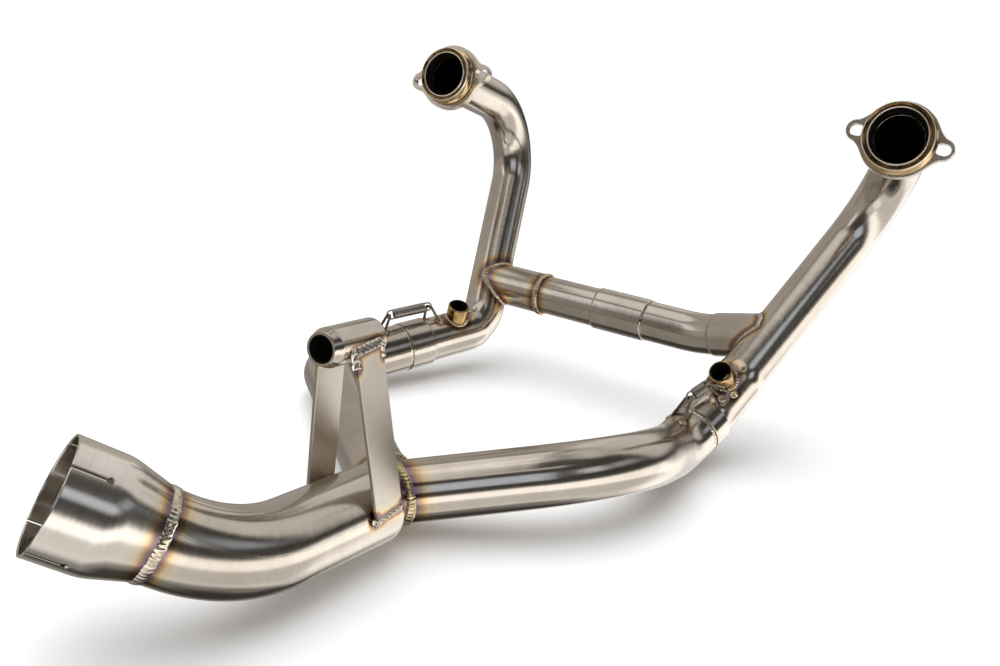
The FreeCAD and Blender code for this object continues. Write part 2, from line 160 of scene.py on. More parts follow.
# Radii in metres.
size = {"wall": 0.0015, "main": 0.03175, "lower": 0.0255, "swage": 0.024, "header": 0.0225,
        "cross": 0.021, "stub": 0.0225, "socket": 0.03975, "slip": 0.0263}

weldSpots = []      # (point, spread) of every weld, for the heat colours around it
pipes = []


# Faces between rows of points, each row a closed ring; wrapped, the last row meets the first again.
def gridFaces(rows, sides, wrapped=False):
    faces = []
    for r in range(rows if wrapped else rows - 1):
        for k in range(sides):
            after, further = (k + 1) % sides, (r + 1) % rows
            faces.append((r * sides + k, r * sides + after, further * sides + after, further * sides + k))
    return faces


# Weights of a smooth curve's two ends and of its pull at each.
def curveWeights(t):
    return 2 * t ** 3 - 3 * t ** 2 + 1, 3 * t ** 2 - 2 * t ** 3, t ** 3 - 2 * t ** 2 + t, t ** 3 - t ** 2


# A closed mesh that rides the body. Its faces are turned outwards when the volume they enclose is negative.
def newPiece(name, verts, faces, material, nodes=(), uvs=None, smooth=True):
    start = verts[0]
    volume = sum((verts[face[0]] - start).dot((verts[a] - start).cross(verts[b] - start))
                 for face in faces for a, b in zip(face[1:], face[2:]))
    if volume < 0:
        faces = [face[:1] + face[:0:-1] for face in faces]
    mesh = bpy.data.meshes.new(name)
    mesh.from_pydata([tuple(v) for v in verts], [], faces)
    mesh.validate()
    piece = bpy.data.objects.new(name, mesh)
    bpy.context.scene.collection.objects.link(piece)
    if smooth:
        mesh.shade_smooth()
    if uvs:
        layer = mesh.uv_layers.new(name="UVMap")
        for loop in mesh.loops:
            layer.data[loop.index].uv = uvs[loop.vertex_index]
    mesh.materials.append(material)
    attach(piece, "root")
    if nodes:
        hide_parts(*nodes)
    return piece


# A hollow pipe along a run. outer and inner give the radius at a station. UV holds the station in metres and
# the way round in turns.
def pipePiece(name, nodes, run, begin, end, outer, inner, material, step=0.003, sides=120,
              lining=None):
    count = max(2, int(round((end - begin) / step)))
    along = [begin + (end - begin) * i / count for i in range(count + 1)]
    verts, uvs = [], []

    def ring(station, radius, lay):
        point, direction = spotOn(run, station)
        above, aside = frameAt(direction)
        for k in range(sides):
            angle = 2 * math.pi * k / sides
            verts.append(point + (above * math.cos(angle) + aside * math.sin(angle)) * radius)
            uvs.append((lay, angle / (2 * math.pi)))

    lip = size["wall"] * 0.25    # rounds the rim at each end
    rings = [(begin, inner(begin) + lip, begin), (begin, outer(begin) - lip, begin)]
    rings += [(s, outer(s), s) for s in along]
    rings += [(end, outer(end) - lip, end), (end, inner(end) + lip, end)]
    rings += [(s, inner(s), s) for s in reversed(along)]
    for station, radius, lay in rings:
        ring(station, radius, lay)
    piece = newPiece(name, verts, gridFaces(len(rings), sides, True), material, nodes, uvs)
    pipes.append(piece)
    if lining:
        piece.data.materials.append(lining)
        for n, face in enumerate(piece.data.polygons):
            face.material_index = 1 if n >= (len(along) + 2) * sides else 0
    return piece


# A round wire along a line of points, with flat ends.
def sweep(points, radius, sides):
    normal = (points[1] - points[0]).normalized().orthogonal().normalized()
    verts = []
    for i, point in enumerate(points):
        before, after = points[max(0, i - 1)], points[min(len(points) - 1, i + 1)]
        tangent = (after - before).normalized()
        normal = (normal - tangent * normal.dot(tangent)).normalized()
        other = tangent.cross(normal)
        for k in range(sides):
            angle = 2 * math.pi * k / sides
            verts.append(point + (normal * math.cos(angle) + other * math.sin(angle)) * radius)
    faces = gridFaces(len(points), sides)
    faces.append(tuple(reversed(range(sides))))
    faces.append(tuple((len(points) - 1) * sides + k for k in range(sides)))
    return verts, faces


# A rippled weld along a closed line of (point, outward, across) places. half, height, pitch and sink are in
# metres, rough is the ripples' share of the height, and spread tells how far the heat colours reach.
def weldPiece(name, nodes, line, half, height, pitch, material, rough=0.25, spread=1.0, seed=1, sink=0.0006):
    dice = random.Random(seed)
    lengths = [0]
    for i in range(len(line)):
        lengths.append(lengths[-1] + (line[(i + 1) % len(line)][0] - line[i][0]).length)
    total = lengths[-1]
    count = int(total / 0.00045)    # a row of faces every 0.45 mm
    ripples = max(6, round(total / pitch))
    jitter = [dice.uniform(-1, 1) for _ in range(ripples + 1)]
    jitter[ripples] = jitter[0]
    across = 13
    verts, uvs = [], []
    place = 0
    for i in range(count):
        s = total * i / count
        while lengths[place + 1] < s:
            place += 1
        t = (s - lengths[place]) / max(1e-9, lengths[place + 1] - lengths[place])
        first, second = line[place], line[(place + 1) % len(line)]
        point = first[0].lerp(second[0], t)
        outward = first[1].lerp(second[1], t).normalized()
        side = first[2].lerp(second[2], t).normalized()
        if spread and i % 8 == 0:
            weldSpots.append((point, spread))
        for k in range(across):
            x = -1 + 2 * k / (across - 1)
            phase = ripples * s / total + 0.55 * x * x
            beat = phase % 1.0
            here = jitter[int(phase) % ripples]
            hump = math.sqrt(max(0.0, 1 - x * x))
            scale = 1 - rough + rough * (1 - abs(2 * beat - 0.7) / 1.3) + 0.10 * here
            wide = half * x * (1 + 0.09 * here)
            verts.append(point + side * wide + outward * (height * hump * scale - sink))
            uvs.append((s, x * 0.5 + 0.5))
        verts.append(point - outward * (sink + 0.0008))
        uvs.append((s, 0.5))
    return newPiece(name, verts, gridFaces(count, across + 1, True), material, nodes, uvs)


def ringLine(run, station, radius, count=180):
    point, direction = spotOn(run, station)
    above, aside = frameAt(direction)
    line = []
    for i in range(count):
        angle = 2 * math.pi * i / count
        outward = above * math.cos(angle) + aside * math.sin(angle)
        line.append((point + outward * radius, outward, direction))
    return line


# How far a point lies from a run between two stations, and the way out from it.
def distanceTo(run, point, low, high, count=60):
    best = min((low + (high - low) * i / count for i in range(count + 1)),
               key=lambda s: (spotOn(run, s)[0] - point).length)
    step = (high - low) / count
    for _ in range(20):
        best = min((best - step, best, best + step), key=lambda s: (spotOn(run, s)[0] - point).length)
        step *= 0.6
    nearest = spotOn(run, best)[0]
    return (point - nearest).length, (point - nearest).normalized()


# The ring where the slanted plane of the collector cuts a pipe.
def mitreLine(centre, direction, radius, count=200):
    heading = (rightDirection - mitre * rightDirection.dot(mitre)).normalized()
    side = mitre.cross(heading)
    slope = direction.dot(mitre)
    line = []
    for i in range(count):
        angle = 2 * math.pi * i / count
        spot = centre + heading * (radius / slope * math.cos(angle)) + side * (radius * math.sin(angle))
        outward = spot - centre
        outward = (outward - rightDirection * outward.dot(rightDirection)).normalized()
        line.append((spot, outward, rightDirection))
    return line


# The line where a straight or bent branch leaves its hosts: walked outwards along the branch's wall.
# Each host is a run, the stations to look between and its radius.
def saddleLine(branch, inside, outside, radius, hosts, count=150):
    line = []
    for i in range(count):
        angle = 2 * math.pi * i / count

        def wallPoint(s):
            here, along = spotOn(branch, s)
            above, aside = frameAt(along)
            outward = above * math.cos(angle) + aside * math.sin(angle)
            return here + outward * radius, outward

        def clear(s):
            spot = wallPoint(s)[0]
            return min(distanceTo(host, spot, low, high)[0] - reach for host, low, high, reach in hosts)

        low, high = inside, outside
        for _ in range(16):
            middle = (low + high) / 2
            if clear(middle) < 0:
                low = middle
            else:
                high = middle
        spot, outward = wallPoint(high)
        nearest = []
        for n, (host, first, last, reach) in enumerate(hosts):
            distance, away = distanceTo(host, spot, first, last)
            nearest.append((distance - reach, n, away))
        line.append([spot, (outward + min(nearest)[2]).normalized(), None])
    for i in range(count):
        tangent = (line[(i + 1) % count][0] - line[i - 1][0]).normalized()
        line[i][1] = (line[i][1] - tangent * line[i][1].dot(tangent)).normalized()
        line[i][2] = tangent.cross(line[i][1]).normalized()
    return line


def noiseAt(tree, vector, scale, detail=3.0, rough=0.5):
    inputs = {"Vector": vector, "Scale": scale, "Detail": detail, "Roughness": rough}
    return addNode(tree, "ShaderNodeTexNoise", inputs).outputs["Fac"]


# Drawn stainless tube brushed round: long soft streaks of light, coloured by heat beside the welds.
# The weldAway attribute holds each point's distance to the nearest weld in metres.
def pipeSteel(name, tone="#ccc3b7", dark="#b3a89b", roughness=0.15, brushed=1.0):
    material, tree = newMaterial(name)
    place = addNode(tree, "ShaderNodeTexCoord").outputs["Object"]
    lay = addNode(tree, "ShaderNodeUVMap", uv_map="UVMap").outputs["UV"]
    heat = addNode(tree, "ShaderNodeAttribute", attribute_name="weldAway").outputs["Fac"]
    cloud = noiseAt(tree, place, 22.0, 4.0)
    # Brushing marks run round the pipe, about half a millimetre apart.
    marks = addNode(tree, "ShaderNodeMapping", {"Vector": lay, "Scale": (2200.0, 7.0, 1.0)}).outputs[0]
    brush = noiseAt(tree, marks, 1.0, 5.0, 0.65)
    coarse = addNode(tree, "ShaderNodeMapping", {"Vector": lay, "Scale": (130.0, 3.0, 1.0)}).outputs[0]
    band = noiseAt(tree, coarse, 1.0, 3.0)
    steel = mixColour(tree, mathNode(tree, "MULTIPLY_ADD", cloud, 1.4, -0.2, clamp=True), linear(dark), linear(tone))
    jitter = mathNode(tree, "MULTIPLY_ADD", noiseAt(tree, place, 70.0, 3.0), 0.006, -0.003)
    reach = mathNode(tree, "ADD", heat, jitter)
    # Heat colours over the 24 mm next to a weld: purple, then brown, gold and a faint straw.
    spread = mathNode(tree, "DIVIDE", reach, 0.024, clamp=True)
    tint = rampNode(tree, spread, [(0.0, "#7d6468"), (0.07, "#7a6474"), (0.13, "#8f6f62"), (0.22, "#b08a58"),
                                   (0.36, "#cdb285"), (0.60, "#d0c2a6"), (1.0, "#cfc6ba")])
    near = rampNode(tree, spread, [(0.0, 0.95), (0.2, 0.9), (0.5, 0.5), (1.0, 0.0)])
    colour = mixColour(tree, near, steel, tint)
    shade = addNode(tree, "ShaderNodeMapRange", {
        "Value": brush, "From Min": 0.3, "From Max": 0.7,
        "To Min": 1 - 0.07 * brushed, "To Max": 1.0 + 0.03 * brushed}).outputs[0]
    colour = mixColour(tree, 1.0, colour, shade, "MULTIPLY")
    level = mathNode(tree, "MULTIPLY_ADD", brush, 0.10 * brushed, roughness - 0.05 * brushed)
    level = mathNode(tree, "MULTIPLY_ADD", band, 0.06, level)
    marks = {"Height": brush, "Strength": 0.10 * brushed, "Distance": 0.0002}
    bump = addNode(tree, "ShaderNodeBump", marks).outputs[0]
    waves = {"Height": band, "Strength": 0.12, "Distance": 0.0008, "Normal": bump}
    bump = addNode(tree, "ShaderNodeBump", waves).outputs[0]
    along = addNode(tree, "ShaderNodeTangent", direction_type="UV_MAP", uv_map="UVMap").outputs[0]
    shader = addNode(tree, "ShaderNodeBsdfPrincipled", {
        "Base Color": colour, "Metallic": 1.0, "Roughness": level, "Normal": bump,
        "Anisotropic": 0.6, "Tangent": along})
    addNode(tree, "ShaderNodeOutputMaterial", {"Surface": shader.outputs[0]})
    return material


# Plain turned, welded or drawn metal: cloudy between two tones, with a fine grain. grain and spots are
# noise cells per metre, so 900 is about 1.1 mm and 500 about 2 mm.
def plainSteel(name, tone, dark, roughness, grain=900.0, spots=24.0, bumpiness=0.15, metal=1.0, glint=0.5):
    material, tree = newMaterial(name)
    place = addNode(tree, "ShaderNodeTexCoord").outputs["Object"]
    cloud = noiseAt(tree, place, spots, 4.0)
    fine = noiseAt(tree, place, grain, 4.0, 0.6)
    mix = mathNode(tree, "MULTIPLY_ADD", cloud, 2.2, -0.6, clamp=True)
    colour = mixColour(tree, mix, linear(dark), linear(tone))
    level = mathNode(tree, "MULTIPLY_ADD", fine, 0.14, roughness - 0.07)
    bump = addNode(tree, "ShaderNodeBump", {"Height": fine, "Strength": bumpiness, "Distance": 0.0002}).outputs[0]
    shader = addNode(tree, "ShaderNodeBsdfPrincipled", {
        "Base Color": colour, "Metallic": metal, "Roughness": level, "Normal": bump, "Specular IOR Level": glint})
    addNode(tree, "ShaderNodeOutputMaterial", {"Surface": shader.outputs[0]})
    return material


tubeSteel = pipeSteel("tube_steel")
socketSteel = pipeSteel("socket_steel", "#e2dad0", "#cbc2b6", 0.16, brushed=1.5)    # paler, with stronger brushing
stripSteel = pipeSteel("strip_steel", "#c6beb3", "#b0a698", 0.30, brushed=0.6)    # rolled flat bar, dull and even
# Weld metal is bright with straw patches; thin seams stay paler.
weldSteel = plainSteel("weld_steel", "#d9cbaa", "#a58a5e", 0.2, 500.0, spots=160.0)
paleWeld = plainSteel("pale_weld", "#dcd5c8", "#b9a888", 0.18, 500.0, spots=120.0)
springSteel = plainSteel("spring_steel", "#b3aca2", "#8d857a", 0.28, 1500.0)    # drawn wire, grey
hookSteel = plainSteel("hook_steel", "#8f877c", "#5d554c", 0.25, 1500.0, spots=60.0)    # bent wire darkened by heat
# Turned flanges: a pale satin plate, a gold waist, polished rims and a dark bronze dish between them.
flangeSteel = plainSteel("flange_steel", "#d6cdc1", "#b3a58f", 0.27, spots=40.0, metal=0.78)
collarSteel = plainSteel("collar_steel", "#d6bd93", "#a3875b", 0.16, spots=60.0)
rimSteel = plainSteel("rim_steel", "#e9dfd0", "#cdb795", 0.24, spots=60.0, metal=0.75)
dishSteel = plainSteel("dish_steel", "#927448", "#35271a", 0.06, spots=90.0, bumpiness=0.05)
bungSteel = plainSteel("bung_steel", "#d3b079", "#86653f", 0.16, spots=90.0)    # turned bung, gold from its weld
# Bores painted near black, with no metal and little glint: soot in the exhaust bores, and painted shade inside every
# bore, the hanger tube's included, where no exhaust passes.
sootAndShadeSteel = plainSteel("soot_and_shade_steel", "#17120e", "#080706", 0.75, spots=60.0, metal=0.0, glint=0.1)    # sooted bores

wall = size["wall"]
# Stations along the runs where one pipe ends and the next begins.
stations = {"socket": 0.068, "rightBead": 0.342, "rightSlip": 0.363, "leftBead": 0.374, "leftSlip": 0.402,
            "crossRing": 0.074, "crossSeam": 0.283}


def steady(radius):
    return lambda station: radius


# The main pipe and the lip that closes it down to the slanted ring of the collector.
def collectorPiece(inset):
    verts, uvs = [], []
    lipFrom = mainLength - collector["lip"]
    sides, straight, curved = collector["sides"], collector["rows"], collector["lipRows"]
    headingMain = (rightDirection - mainDirection * rightDirection.dot(mainDirection)).normalized()
    headingRing = (rightDirection - mitre * rightDirection.dot(mitre)).normalized()
    sideRing = mitre.cross(headingRing)
    slope = rightDirection.dot(mitre)
    narrow = size["lower"] - inset
    wide = size["main"] - inset
    for r in range(straight + 1):
        station = stations["socket"] + (lipFrom - stations["socket"]) * r / straight
        point, direction = spotOn(mainRun, station)
        heading = (headingMain - direction * headingMain.dot(direction)).normalized()
        side = direction.cross(heading)
        for k in range(sides):
            angle = 2 * math.pi * k / sides
            verts.append(point + (heading * math.cos(angle) + side * math.sin(angle)) * wide)
            uvs.append((station, angle / (2 * math.pi)))
    start, along = spotOn(mainRun, lipFrom)
    heading = (headingMain - along * headingMain.dot(along)).normalized()
    side = along.cross(heading)
    for r in range(1, curved + 1):
        t = r / curved
        fromStart, fromEnd, startPull, endPull = curveWeights(t)
        for k in range(sides):
            angle = 2 * math.pi * k / sides
            first = start + (heading * math.cos(angle) + side * math.sin(angle)) * wide
            last = lipFront + headingRing * (narrow / slope * math.cos(angle))
            last = last + sideRing * (narrow * math.sin(angle))
            spot = first * fromStart + last * fromEnd
            verts.append(spot + (along * startPull + rightDirection * endPull) * collector["lip"])
            uvs.append((lipFrom + collector["lip"] * t, angle / (2 * math.pi)))
    return verts, uvs, gridFaces(straight + curved + 1, sides)


collector = {"lip": 0.034, "forward": -0.0035, "sides": 120, "rows": 70, "lipRows": 16}
lipFront = route["junction"] + rightDirection * collector["forward"]
skin, skinUvs, skinFaces = collectorPiece(0)
lining, liningUvs, liningFaces = collectorPiece(wall)
shift = len(skin)
last = shift - collector["sides"]
joins = []
for k in range(collector["sides"]):
    after = (k + 1) % collector["sides"]
    joins.append((k, shift + k, shift + after, after))
    joins.append((last + k, last + after, shift + last + after, shift + last + k))
faces = skinFaces + [tuple(shift + corner for corner in reversed(face)) for face in liningFaces] + joins
pipes.append(newPiece("outletBend", skin + lining, faces, tubeSteel, ["main_pipe", "collector_lip"],
                      skinUvs + liningUvs))


# A header's radius: the swaged end that enters the slip joint, then a smooth cone down to the header tube.
def headerRadius(slipAt, swage, cone=0.009):
    first, last = slipAt + swage, slipAt + swage + cone

    def radius(station):
        t = min(1, max(0, (station - first) / (last - first)))
        t = t * t * (3 - 2 * t)
        return size["swage"] + (size["header"] - size["swage"]) * t

    return radius


rightOuter = headerRadius(stations["rightSlip"], 0.050)
leftOuter = headerRadius(stations["leftSlip"], 0.064)
lower, slip, cross, stub = (steady(size[name]) for name in ("lower", "slip", "cross", "stub"))
# Each pipe: its node, run, first and last station, outer radius, wall and the length of its rows of faces.
tubes = {
    "rightLowerPipe": ("right_lower_pipe", rightRun, 0.0, stations["rightBead"], lower, wall, 0.003),
    "leftLowerPipe": ("left_lower_pipe", leftRun, 0.0, stations["leftBead"], lower, wall, 0.0015),
    "rightHeader": ("right_header_pipe", rightRun, 0.343, rightLength, rightOuter, wall, 0.003),
    "leftHeader": ("left_header_pipe", leftRun, 0.382, leftLength, leftOuter, wall, 0.003),
    "rightSlipSocket": ("right_slip_socket", rightRun, stations["rightBead"], stations["rightSlip"], slip,
                        0.0023, 0.001),
    "leftSlipSocket": ("left_slip_socket", leftRun, stations["leftBead"], stations["leftSlip"], slip, 0.0023, 0.001),
    "crossTube": ("cross_tube", crossRun, 0.054, 0.303, cross, wall, 0.003),
    "crossSleeve": ("cross_sleeve", crossRun, 0.144, 0.204, stub, wall, 0.002),
    "crossLeftStub": ("cross_left_stub", crossRun, 0.002, stations["crossRing"], stub, wall, 0.002),
    "crossRightStub": ("cross_right_stub", crossRun, stations["crossSeam"], crossLength - 0.002, stub, wall, 0.002)}
for name, (node, run, begin, end, outer, thick, step) in tubes.items():
    pipePiece(name, [node], run, begin, end, outer, lambda s: outer(s) - thick, tubeSteel, step)
print("pipes built")

collectorHosts = [(mainRun, mainLength - 0.09, mainLength, size["main"]), (rightRun, 0.0, 0.09, size["lower"])]
branchLine = saddleLine(leftRun, 0.005, 0.090, size["lower"], collectorHosts)
leftSaddle = saddleLine(crossRun, 0.005, 0.060, size["stub"], [(leftRun, 0.46, 0.60, size["header"])])
rightSaddle = saddleLine(crossRun, crossLength - 0.005, crossLength - 0.060, size["stub"],
                         [(rightRun, 0.39, 0.54, size["header"])])
mitreRing = mitreLine(lipFront + rightDirection * 0.002, rightDirection, size["lower"])
outletRing = ringLine(mainRun, stations["socket"], size["main"])
rightSlipRing = ringLine(rightRun, stations["rightBead"] - 0.002, size["lower"])
leftSlipRing = ringLine(leftRun, stations["leftBead"] - 0.002, size["lower"])
crossRing = ringLine(crossRun, stations["crossRing"], size["stub"] - 0.0002)
crossSeam = ringLine(crossRun, stations["crossSeam"], size["stub"] - 0.0006)
# Each weld: its node, line, half width, height and ripple pitch in metres, its metal, the depth of its
# ripples, how far its heat colours reach and the seed of its unevenness.
welds = {
    "outletWeld": ("outlet_weld", outletRing, 0.0046, 0.0019, 0.0034, paleWeld, 0.18, 0.75, 3),
    "collectorWeld": ("collector_weld", mitreRing, 0.0040, 0.0020, 0.0034, weldSteel, 0.2, 1.1, 5),
    "branchWeld": ("branch_weld", branchLine, 0.0036, 0.0022, 0.003, weldSteel, 0.3, 1.0, 7),
    "rightSlipBead": ("right_slip_bead", rightSlipRing, 0.0022, 0.0011, 0.003, paleWeld, 0.3, 0, 11),
    "leftSlipBead": ("left_slip_bead", leftSlipRing, 0.0018, 0.0008, 0.003, paleWeld, 0.2, 0, 12),
    "crossRing": ("cross_weld_ring", crossRing, 0.0036, 0.0022, 0.003, weldSteel, 0.25, 0.75, 13),
    "crossSeam": ("cross_seam_ring", crossSeam, 0.0018, 0.0009, 0.003, paleWeld, 0.2, 0, 14),
    "crossLeftWeld": ("cross_left_weld", leftSaddle, 0.0036, 0.0024, 0.003, weldSteel, 0.3, 0.9, 15),
    "crossRightWeld": ("cross_right_weld", rightSaddle, 0.0030, 0.0018, 0.003, paleWeld, 0.3, 0.4, 16)}
for name, (node, line, half, height, pitch, metal, rough, spread, seed) in welds.items():
    weldPiece(name, [node], line, half, height, pitch, metal, rough, spread, seed)

# Sensor bungs: the station and clock angle of each; heights above the centreline, radii and the thread's pitch
# and depth in metres.
bungs = {"right": (rightRun, 0.399, 16), "left": (leftRun, 0.440, 20)}
bung = {"low": 0.022, "high": 0.040, "radius": 0.0115, "bore": 0.009, "chamfer": 0.001, "foot": 0.0121,
        "thread": 0.0015, "threadDepth": 0.00025}


def bungOuter(s):
    return bung["radius"] - max(0.0, s - (bung["high"] - bung["low"] - bung["chamfer"]))


def bungInner(s):
    return bung["bore"] + bung["threadDepth"] * math.sin(s * 2 * math.pi / bung["thread"])


for sideName, (run, station, clock) in bungs.items():
    point, outward = outwardAt(run, station, math.radians(clock))
    host = (run, station - 0.04, station + 0.04, size["swage"])
    line = saddleLine(runThrough([point, point + outward], []), 0.010, 0.040, bung["foot"], [host])
    bungRun = runThrough([point + outward * bung["low"], point + outward * bung["high"]], [])
    # The bung's threaded bore is lined near black: soot, and painted shade in the hollow.
    pipePiece(sideName + "Bung", [sideName + "_bung"], bungRun, 0.0, bung["high"] - bung["low"], bungOuter, bungInner,
              bungSteel, 0.00025, 64, sootAndShadeSteel)
    weldPiece(sideName + "BungWeld", [sideName + "_bung_weld"], line, 0.0024, 0.0018, 0.0026, weldSteel, 0.35, 0.45, 21)
print("welds built")

# Each hook: the arch's station, clock angle and rise, then the station and clock angle of both feet.
springs = {
    "right": (rightRun, (0.344, -5, 0.012, 0.326, -42, 0.311, 6), (0.384, 12, 0.013, 0.382, 39, 0.392, 54)),
    "left": (leftRun, (0.361, -4, 0.014, 0.352, -32, 0.349, 14), (0.409, 2, 0.016, 0.405, -12, 0.418, 21))}
# Wires: the coils' outer radius, both thicknesses, the hooks' bends, the springs' plain ends and their pitch
# in wire thicknesses.
wire = {"coil": 0.0056, "spring": 0.0018, "hook": 0.003, "bend": 0.0024, "ends": 0.003, "pitch": 1.02, "step": 0.0004}
dab = {"ring": 0.0019, "half": 0.0024, "height": 0.0022, "pitch": 0.0022, "rough": 0.4, "spread": 0.35, "seed": 31}


def smoothLine(corners, bends):
    run = runThrough(corners, bends)
    length = runLength(run)
    count = max(8, int(length / wire["step"]))
    return [spotOn(run, length * i / count)[0] for i in range(count + 1)]


def hookPiece(name, node, run, hook, radius):
    station, archClock, rise, firstStation, firstClock, lastStation, lastClock = hook
    point, outward = outwardAt(run, station, math.radians(archClock))
    arch = point + outward * (radius + rise)
    seats = [outwardAt(run, firstStation, math.radians(firstClock)),
             outwardAt(run, lastStation, math.radians(lastClock))]
    feet = [base + away * (radius - wire["hook"] / 2) for base, away in seats]
    along = spotOn(run, station)[1]
    spread = feet[1] - feet[0]
    across = (spread - along * (spread.dot(along) * 0.7)).normalized() * (wire["hook"] * 1.1)
    line = smoothLine([feet[0], arch - across, arch + across, feet[1]], [wire["bend"]] * 2)
    verts, faces = sweep(line, wire["hook"] / 2, 20)
    newPiece(name, verts, faces, hookSteel, [node])
    for n, (base, away) in enumerate(seats):
        centre = base + away * radius
        toward = (arch - centre)
        toward = (toward - away * toward.dot(away)).normalized()
        side = away.cross(toward)
        line = []
        for i in range(40):
            angle = 2 * math.pi * i / 40
            flat = toward * math.cos(angle) + side * math.sin(angle)
            line.append((centre + flat * dab["ring"], (away + flat * 0.5).normalized(), flat))
        weldPiece(name + "Dab" + str(n), [], line, dab["half"], dab["height"], dab["pitch"], weldSteel,
                  dab["rough"], dab["spread"], dab["seed"] + n)
    return arch, across


def springPiece(name, node, low, high):
    first, last = low[0], high[0]
    span = (last - first).length
    direction = (last - first).normalized()
    above, aside = frameAt(direction)
    coil = wire["coil"] - wire["spring"] / 2
    tip = (wire["spring"] + wire["hook"]) / 2
    turns = int((span - 2 * (coil - tip + wire["ends"])) / wire["spring"])
    pitch = wire["spring"] * wire["pitch"]
    bodyStart = (span - turns * pitch) / 2

    def put(x, y, z):
        return first + above * x + aside * y + direction * z

    points = []
    for i in range(turns * 40 + 1):
        angle = 2 * math.pi * i / 40
        points.append(put(coil * math.cos(angle), coil * math.sin(angle), bodyStart + pitch * angle / (2 * math.pi)))
    verts, faces = sweep(points, wire["spring"] / 2, 14)
    for base, end, across in ((bodyStart, -tip, low[1]), (span - bodyStart, span + tip, high[1])):
        facing = math.atan2(-across.dot(above), across.dot(aside))
        x, y = coil * math.cos(facing), coil * math.sin(facing)
        corners = [put(x, y, base), put(x, y, end), put(-x, -y, end), put(-x, -y, base)]
        more, extra = sweep(smoothLine(corners, [coil * 0.98, coil * 0.98]), wire["spring"] / 2, 14)
        faces += [tuple(len(verts) + k for k in face) for face in extra]
        verts += more
    newPiece(name, verts, faces, springSteel, [node])


for sideName, (run, lowHook, highHook) in springs.items():
    low = hookPiece(sideName + "LowerHook", sideName + "_lower_hook", run, lowHook, size["lower"])
    high = hookPiece(sideName + "UpperHook", sideName + "_upper_hook", run, highHook, size["swage"])
    springPiece(sideName + "Spring", sideName + "_spring", low, high)
print("springs built")

# Outlet socket: a smooth cone and keyhole slots cut through its wall.
socket = {"straight": 0.037, "length": 0.068, "round": 0.006, "slots": 4, "clock": 32.5, "depth": 0.024,
          "slit": 0.0014, "eye": 0.0024}


def socketRadius(station):
    fall = (size["socket"] - size["main"]) / (socket["length"] - socket["straight"])
    past = (station - socket["straight"]) / socket["round"]
    eased = socket["round"] * ((past + 1) ** 2 / 4 if abs(past) < 1 else max(0.0, past))
    return size["socket"] - fall * eased


def cutAway(body, cutters):
    bpy.ops.object.select_all(action="DESELECT")
    bpy.context.view_layer.objects.active = body
    body.select_set(True)
    for n, cutter in enumerate(cutters):
        cut = body.modifiers.new("cut" + str(n), "BOOLEAN")
        cut.operation, cut.solver, cut.object = "DIFFERENCE", "EXACT", cutter
        bpy.ops.object.modifier_apply(modifier=cut.name)
    for cutter in cutters:
        bpy.data.objects.remove(cutter)


body = pipePiece("outletSocket", ["outlet_socket"], mainRun, 0.0, socket["length"], socketRadius,
                 lambda s: socketRadius(s) - wall, socketSteel, step=0.001, sides=240)
mouth, inward = spotOn(mainRun, 0.0)
above, aside = frameAt(inward)
cutters = []
for n in range(socket["slots"]):
    angle = math.radians(socket["clock"] + 360 * n / socket["slots"])
    outward = above * math.cos(angle) + aside * math.sin(angle)
    turn = Matrix((outward, inward.cross(outward), inward)).transposed().to_4x4()
    middle = mouth + outward * size["socket"]
    bpy.ops.object.select_all(action="DESELECT")
    bpy.ops.mesh.primitive_cube_add(size=1)
    slit = bpy.context.object
    slit.matrix_world = (Matrix.Translation(middle + inward * (socket["depth"] / 2 - 0.001)) @ turn
                         @ Matrix.Diagonal((0.02, socket["slit"], socket["depth"] + 0.002, 1)))
    bpy.ops.mesh.primitive_cylinder_add(vertices=40, radius=socket["eye"], depth=0.02)
    eye = bpy.context.object
    upright = Matrix.Rotation(math.pi / 2, 4, "Y")
    eye.matrix_world = Matrix.Translation(middle + inward * socket["depth"]) @ turn @ upright
    cutters += [slit, eye]
cutAway(body, cutters)
print("socket built")

# Hanger: a tube on two strips, and their welds.
hanger = {"near": mm(-61, -195.5, 176.5), "far": mm(-61, -136, 169), "radius": 0.0145, "bore": 0.0098, "rim": 0.012,
          "chamfer": 0.007, "width": 0.032, "thick": 0.003, "across": -0.162, "footRise": 0.008, "bite": 0.0004,
          "edge": 0.0004, "rows": 80, "topWeld": 0.012, "footWeld": 0.004}
stripBead = {"half": 0.0034, "height": 0.0030, "pitch": 0.0052, "rough": 0.7, "spread": 0.34, "sink": 0.0012}
hangerRun = runThrough([hanger["near"], hanger["far"]], [])
hangerLength = runLength(hangerRun)


def hangerRadius(station):
    grow = min(1.0, station / hanger["chamfer"])
    return hanger["rim"] + (hanger["radius"] - hanger["rim"]) * grow - max(0.0, station - hangerLength + 0.001)


# The hanger tube's bore is lined near black: painted shade, as no exhaust passes through it.
pipePiece("hangerTube", ["hanger_tube"], hangerRun, 0.0, hangerLength, hangerRadius, steady(hanger["bore"]), tubeSteel,
          step=0.001, sides=96, lining=sootAndShadeSteel)
low, high = 0.0, mainLength
for _ in range(40):
    middle = (low + high) / 2
    low, high = (middle, high) if spotOn(mainRun, middle)[0].y < hanger["across"] else (low, middle)
mainUnder = spotOn(mainRun, low)[0]
hangerAlong = spotOn(hangerRun, 0)[1]
tubeOver = hanger["near"] + hangerAlong * ((hanger["across"] - hanger["near"].y) / hangerAlong.y)
footReach = math.sqrt(size["main"] ** 2 - hanger["footRise"] ** 2)


